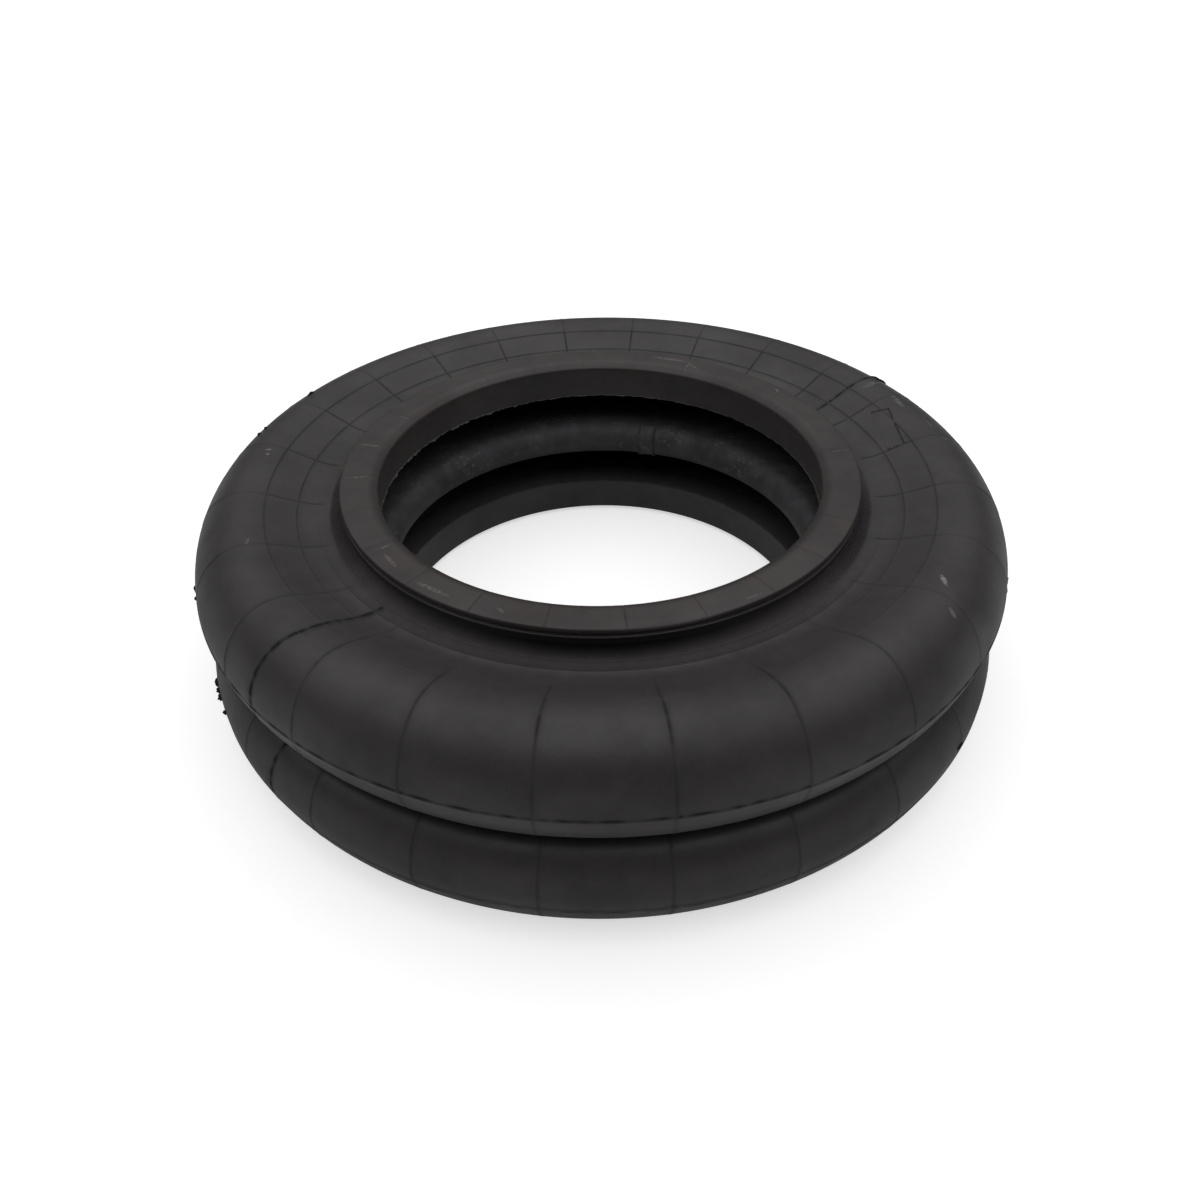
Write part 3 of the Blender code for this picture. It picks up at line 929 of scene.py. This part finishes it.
# %% Splice strip
def patch(name, grid, material, marks=None):
    """Closed mesh of an open grid (rows, columns, 3, 2 skins): both skins and the rim between."""
    rows, columns = grid.shape[:2]
    front = np.arange(rows * columns).reshape(rows, columns)
    lift = rows * columns
    back = front + lift
    quads = [
        np.stack([front[:-1, :-1], front[1:, :-1], front[1:, 1:], front[:-1, 1:]], -1).reshape(-1, 4),
        np.stack([back[:-1, :-1], back[:-1, 1:], back[1:, 1:], back[1:, :-1]], -1).reshape(-1, 4),
    ]
    loop = np.hstack([front[0, :-1], front[:-1, -1], front[-1, :0:-1], front[:0:-1, 0]])
    after = np.roll(loop, -1)
    quads.append(np.stack([loop, after, after + lift, loop + lift], -1))
    points = np.vstack([grid[..., 0].reshape(-1, 3), grid[..., 1].reshape(-1, 3)])
    return finish_mesh(name, points, outward(points, np.vstack(quads)), material, marks)


splice_angle = math.radians(74.8)
splice_half = math.asin(3.8 * MM / girdle_inner)
splice_turns = np.radians(np.linspace(112, 248, 35))
splice_place = np.linspace(-1, 1, 41)
splice_across = splice_angle + splice_half * splice_place
splice_ridge = 0.55 * MM * (bell(splice_place - 0.86, 0.11) + bell(splice_place + 0.86, 0.11))


def splice_skin(radius):
    """Points at a distance round the girdle's bend that may change across the strip."""
    r = arc_centre + radius * np.cos(splice_turns)[:, None]
    z = middle + radius * np.sin(splice_turns)[:, None]
    return spun(r, z, splice_across)


splice_out = splice_skin(arc_radius + gap + 0.3 * MM + splice_ridge)
splice_low = splice_skin(arc_radius + 0.02 * MM)
splice = patch("splice_strip", np.stack([splice_out, splice_low], -1), liner_rubber)
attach(splice, "girdle")
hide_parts("girdle_splice_strip")
print("splice strip at %.1f degrees" % math.degrees(splice_angle))

# %% Ragged flash under each bore wall
flash_angles = even_angles(1200)


def flash_grid():
    """Thin fin under the bore wall. Its reach is sums of sines, cut off below a level."""
    worst = bell(from_angle(flash_angles, 145), 0.75)
    worst = np.maximum(worst, 0.35 * bell(from_angle(flash_angles, 80), 0.6))
    reach = 0.2 + (0.4 + 0.9 * worst) * np.clip(wobble(flash_angles * 11, 2.0) - 0.3, 0, 1)
    reach += (0.6 + 1.6 * worst) * np.clip(wobble(flash_angles * 41, 7.0) - 0.62, 0, 1)
    reach += 2.2 * worst * np.clip(wobble(flash_angles * 97, 5.0) - 0.8, 0, 1)
    reach = reach * MM
    same = np.ones_like(reach)
    root = same * (bore_radius + 0.6 * MM)
    r = np.stack([root, bore_radius - reach * 0.55, bore_radius - reach * 0.7, root])
    drop = np.stack([same * 0.12 * MM, -reach * 0.75, -reach * 0.85, same * -0.2 * MM])
    return spun(r, foot_underside + 0.25 * MM + drop, flash_angles)


for side in ("upper", "lower"):
    flash = ring_mesh("bore_flash_" + side, half_place(side, flash_grid()), flash_rubber)
    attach(flash, side + "_bead")
print("flash built")

# %% Pips of rubber left standing on the shoulders
long_pip = 2.9
pip_table = {
    "upper_side": (
        (138.8, 153.8, 1.7, 1.0), (141.6, 168.0, 0.9, 0.8), (140.8, 166.3, 0.8, 0.8),
        (143.0, 29.4, 3.4, 0.9), (139.5, 29.9, 3.0, 0.9)),
    "upper_under": (
        (151.5, -162.0, 2.0, 0.9), (151.5, -159.8, 1.0, 0.8), (151.5, -18.5, 2.8, 0.45),
        (151.5, -21.0, 1.5, 0.35)),
    "lower_under": (
        (151.5, -157.5, 2.4, 1.1), (151.5, -155.9, 1.6, 1.2), (151.5, -154.4, 2.0, 1.1),
        (151.5, -151.2, 1.1, 1.0), (151.5, -38.0, 2.0, 0.6)),
}


def pip_mesh(name, side, table):
    """Small lumps: each a half-sunk ball of 8 x 6 points, stretched round the part.

    The table gives radius, degrees, half length and height. A long pip lies across the
    part. Sines of both angles change a pip's radius, so that it looks torn off."""
    u = np.linspace(0, np.pi, 6)[:, None]
    v = np.linspace(0, 2 * np.pi, 8, endpoint=False)[None]
    points, faces, first = [], [], 0
    quads = np.array([(i * 8 + j, i * 8 + (j + 1) % 8, (i + 1) * 8 + (j + 1) % 8, (i + 1) * 8 + j)
                      for i in range(5) for j in range(8)])
    for k, (radius, degrees, length, height) in enumerate(table):
        s = np.interp(radius * MM, *outer_reach) if radius < overall_radius / MM else s_crown
        place, normal = at(outer, np.array([s]))
        a = math.radians(degrees)
        centre, out = spun(*place[0], a), spun(*normal[0], a)
        along = np.array([-math.sin(a), math.cos(a), 0.0])
        if length >= long_pip:
            along = np.cross(out, along)
        side_way = np.cross(out, along)
        rough = 1 + 0.22 * np.sin(3 * v + 5 * u + k) + 0.15 * np.sin(5 * v - 2 * u + 2 * k)
        ball = (np.cos(u) * along[:, None, None] * length * rough
                + np.sin(u) * np.cos(v) * out[:, None, None] * height * rough
                + np.sin(u) * np.sin(v) * side_way[:, None, None] * 0.5)
        points.append(centre + np.moveaxis(ball, 0, -1).reshape(-1, 3) * MM)
        faces.append(quads + first)
        first += 48
    points, faces = half_place(side, np.vstack(points)), np.vstack(faces)
    if side == "lower":
        faces = faces[:, [0, 3, 2, 1]]
    return finish_mesh(name, points, faces, cover_rubber, {"dark_marks_and_shade": np.full(first, 0.85)}, sharp=80)


shoulder_part = slice(crest_at, crown_at - 1)
outer_reach = (outer[shoulder_part, 0], outer_length[shoulder_part])
for name, table in pip_table.items():
    side, part = name.split("_")
    pips = pip_mesh("mould_pips_" + name, side, table)
    carry(pips, side, part)
    print(pips.name, len(table), "pips")

# %% Blank mould insert on the upper cover
insert_corners = np.array([(113.6, 42.5), (120.7, 41.6), (121.1, 15.9), (114.6, 15.7)]) * MM


def insert_grid():
    """Four-cornered patch in plan, laid on the cover: z is the outer line's height there."""
    u, v = np.linspace(0, 1, 29)[:, None, None], np.linspace(0, 1, 97)[None, :, None]
    a, b, c, d = insert_corners
    plan = (1 - v) * ((1 - u) * a + u * b) + v * ((1 - u) * d + u * c)
    z = np.interp(np.hypot(plan[..., 0], plan[..., 1]), outer[rising, 0], outer[rising, 1])
    return np.stack([np.dstack([plan, z + 0.1 * MM]), np.dstack([plan, z - 0.4 * MM])], -1), u, v


grid, u, v = insert_grid()
# Painted shade along the insert's raised edges, broken in places.
rim = np.maximum(bell(np.minimum(v, 0.99) * 27, 0.8) * (wobble(u * 5, 0.4) > 0.3),
                 bell((1 - u) * 7, 0.7) * (np.abs(v - 0.36) > 0.05) * (0.6 + 0.4 * wobble(v * 9, 2.0)))
rim = np.maximum(rim, bell((1 - v) * 27, 0.8) * (wobble(u * 4, 1.3) > 0.5))
insert = patch("mould_insert_blank", grid, cover_rubber, {"dark_marks_and_shade": np.tile(rim.ravel(), 2)})
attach(insert, "upper_bead")
print("insert %.1f mm long" % (np.linalg.norm(insert_corners[2] - insert_corners[1]) / MM))

# %% [markdown]
# ## Studio
#
# The photo was taken in a white tent, so the world itself is the tent: bright overhead, dim
# at the horizon, and dark in a soft patch at the front, where the tent opens. That makes the
# shoulder that faces the lens the darkest part of the rubber. The camera sees plain white
# behind the part. The floor keeps the shadow, and it is grey to the light, so that the
# underside of the rubber stays dark.

# %% World, floor and light
opening_way = (0.0, -0.978, 0.208)
floor_reach = 6.0


def white_tent():
    """World brightness: a smooth step of the ray's height, times a smooth step down of its
    dot product with the direction of the opening."""
    world = bpy.data.worlds.new("white_tent")
    bpy.context.scene.world = world
    world.use_nodes = True
    tree = world.node_tree
    way = node(tree, "TexCoord", out="Generated")
    height = node(tree, "SeparateXYZ", out="Z", i0=way)
    roof = span(tree, height, 0.25, 0.97, 0.12, 1.12, "SMOOTHSTEP")
    facing = node(tree, "VectorMath", {"operation": "DOT_PRODUCT"}, "Value", i0=way, i1=opening_way)
    opening = span(tree, facing, 0.669, 0.866, 1.0, 0.04, "SMOOTHSTEP")
    seen = node(tree, "LightPath", out="Is Camera Ray")
    colour = mix(tree, seen, times(tree, roof, opening), (1.0, 1.0, 1.0))
    plug(tree, tree.nodes["Background"], Color=colour, Strength=1.0)


def pale_floor():
    """Large square floor: grey to the light, and lifted to paper white for the camera."""
    material, tree, shader = new_material("floor_white")
    seen = node(tree, "LightPath", out="Is Camera Ray")
    paper = mix(tree, seen, (0.52, 0.52, 0.52), (0.8, 0.8, 0.8))
    lift = node(tree, "Math", {"operation": "MULTIPLY_ADD"}, i0=seen, i1=0.5, i2=0.1)
    plug(tree, shader, Base_Color=paper, Roughness=0.9, Specular_IOR_Level=0.1,
         Emission_Color=(1.0, 1.0, 1.0, 1.0), Emission_Strength=lift)
    corners = np.array([(-1, -1, 0), (1, -1, 0), (1, 1, 0), (-1, 1, 0)]) * floor_reach
    floor = finish_mesh("floor", corners, np.array([[0, 1, 2, 3]]), material)


white_tent()
pale_floor()
lamp = bpy.data.lights.new("back_softbox", "AREA")
lamp.size = 1.0
lamp.energy = 0.25
softbox = bpy.data.objects.new("back_softbox", lamp)
bpy.context.collection.objects.link(softbox)
softbox.location = (0.1, 1.1, 1.2)
aim = Vector((0, 0, 0.03)) - softbox.location
softbox.rotation_euler = aim.to_track_quat("-Z", "Y").to_euler()
print("studio ready")

# %% [markdown]
# ## Camera
#
# The camera stands in front and above, close enough for a clear perspective. Its place comes
# from fitting the circles of the part to the ellipses in the photo. The photo is framed lower
# than the lens looks, which a small shift gives.

# %% Camera
camera_elevation = 35.98
camera_distance = 0.42458
lens_elevation = 31.85
lens_roll = -0.785
focal_pixels = 1054.17
picture_size = 1200
centre_pixel = (599.96, 468.68)


def place_camera():
    """Location = centre + d (0, -cos e, sin e); the lens looks along -back of its own angle."""
    data = bpy.data.cameras.new("camera")
    data.sensor_width = 36.0
    data.lens = focal_pixels / picture_size * data.sensor_width
    data.shift_x = (picture_size / 2 - centre_pixel[0]) / picture_size
    data.shift_y = (centre_pixel[1] - picture_size / 2) / picture_size
    camera = bpy.data.objects.new("camera", data)
    bpy.context.collection.objects.link(camera)
    e, look, roll = (math.radians(a) for a in (camera_elevation, lens_elevation, lens_roll))
    back = Vector((0, -math.cos(look), math.sin(look)))
    level_up = Vector((0, math.sin(look), math.cos(look)))
    level = Vector((1, 0, 0))
    right = level * math.cos(roll) + level_up * math.sin(roll)
    up = level_up * math.cos(roll) - level * math.sin(roll)
    turn = Matrix((right, up, back)).transposed().to_4x4()
    place = Vector((0, 0, middle)) + Vector((0, -math.cos(e), math.sin(e))) * camera_distance
    camera.matrix_world = Matrix.Translation(place) @ turn
    bpy.context.scene.camera = camera
    return camera


camera = place_camera()
bpy.context.scene.view_settings.view_transform = "Standard"
print("camera at", tuple(round(v, 3) for v in camera.location))
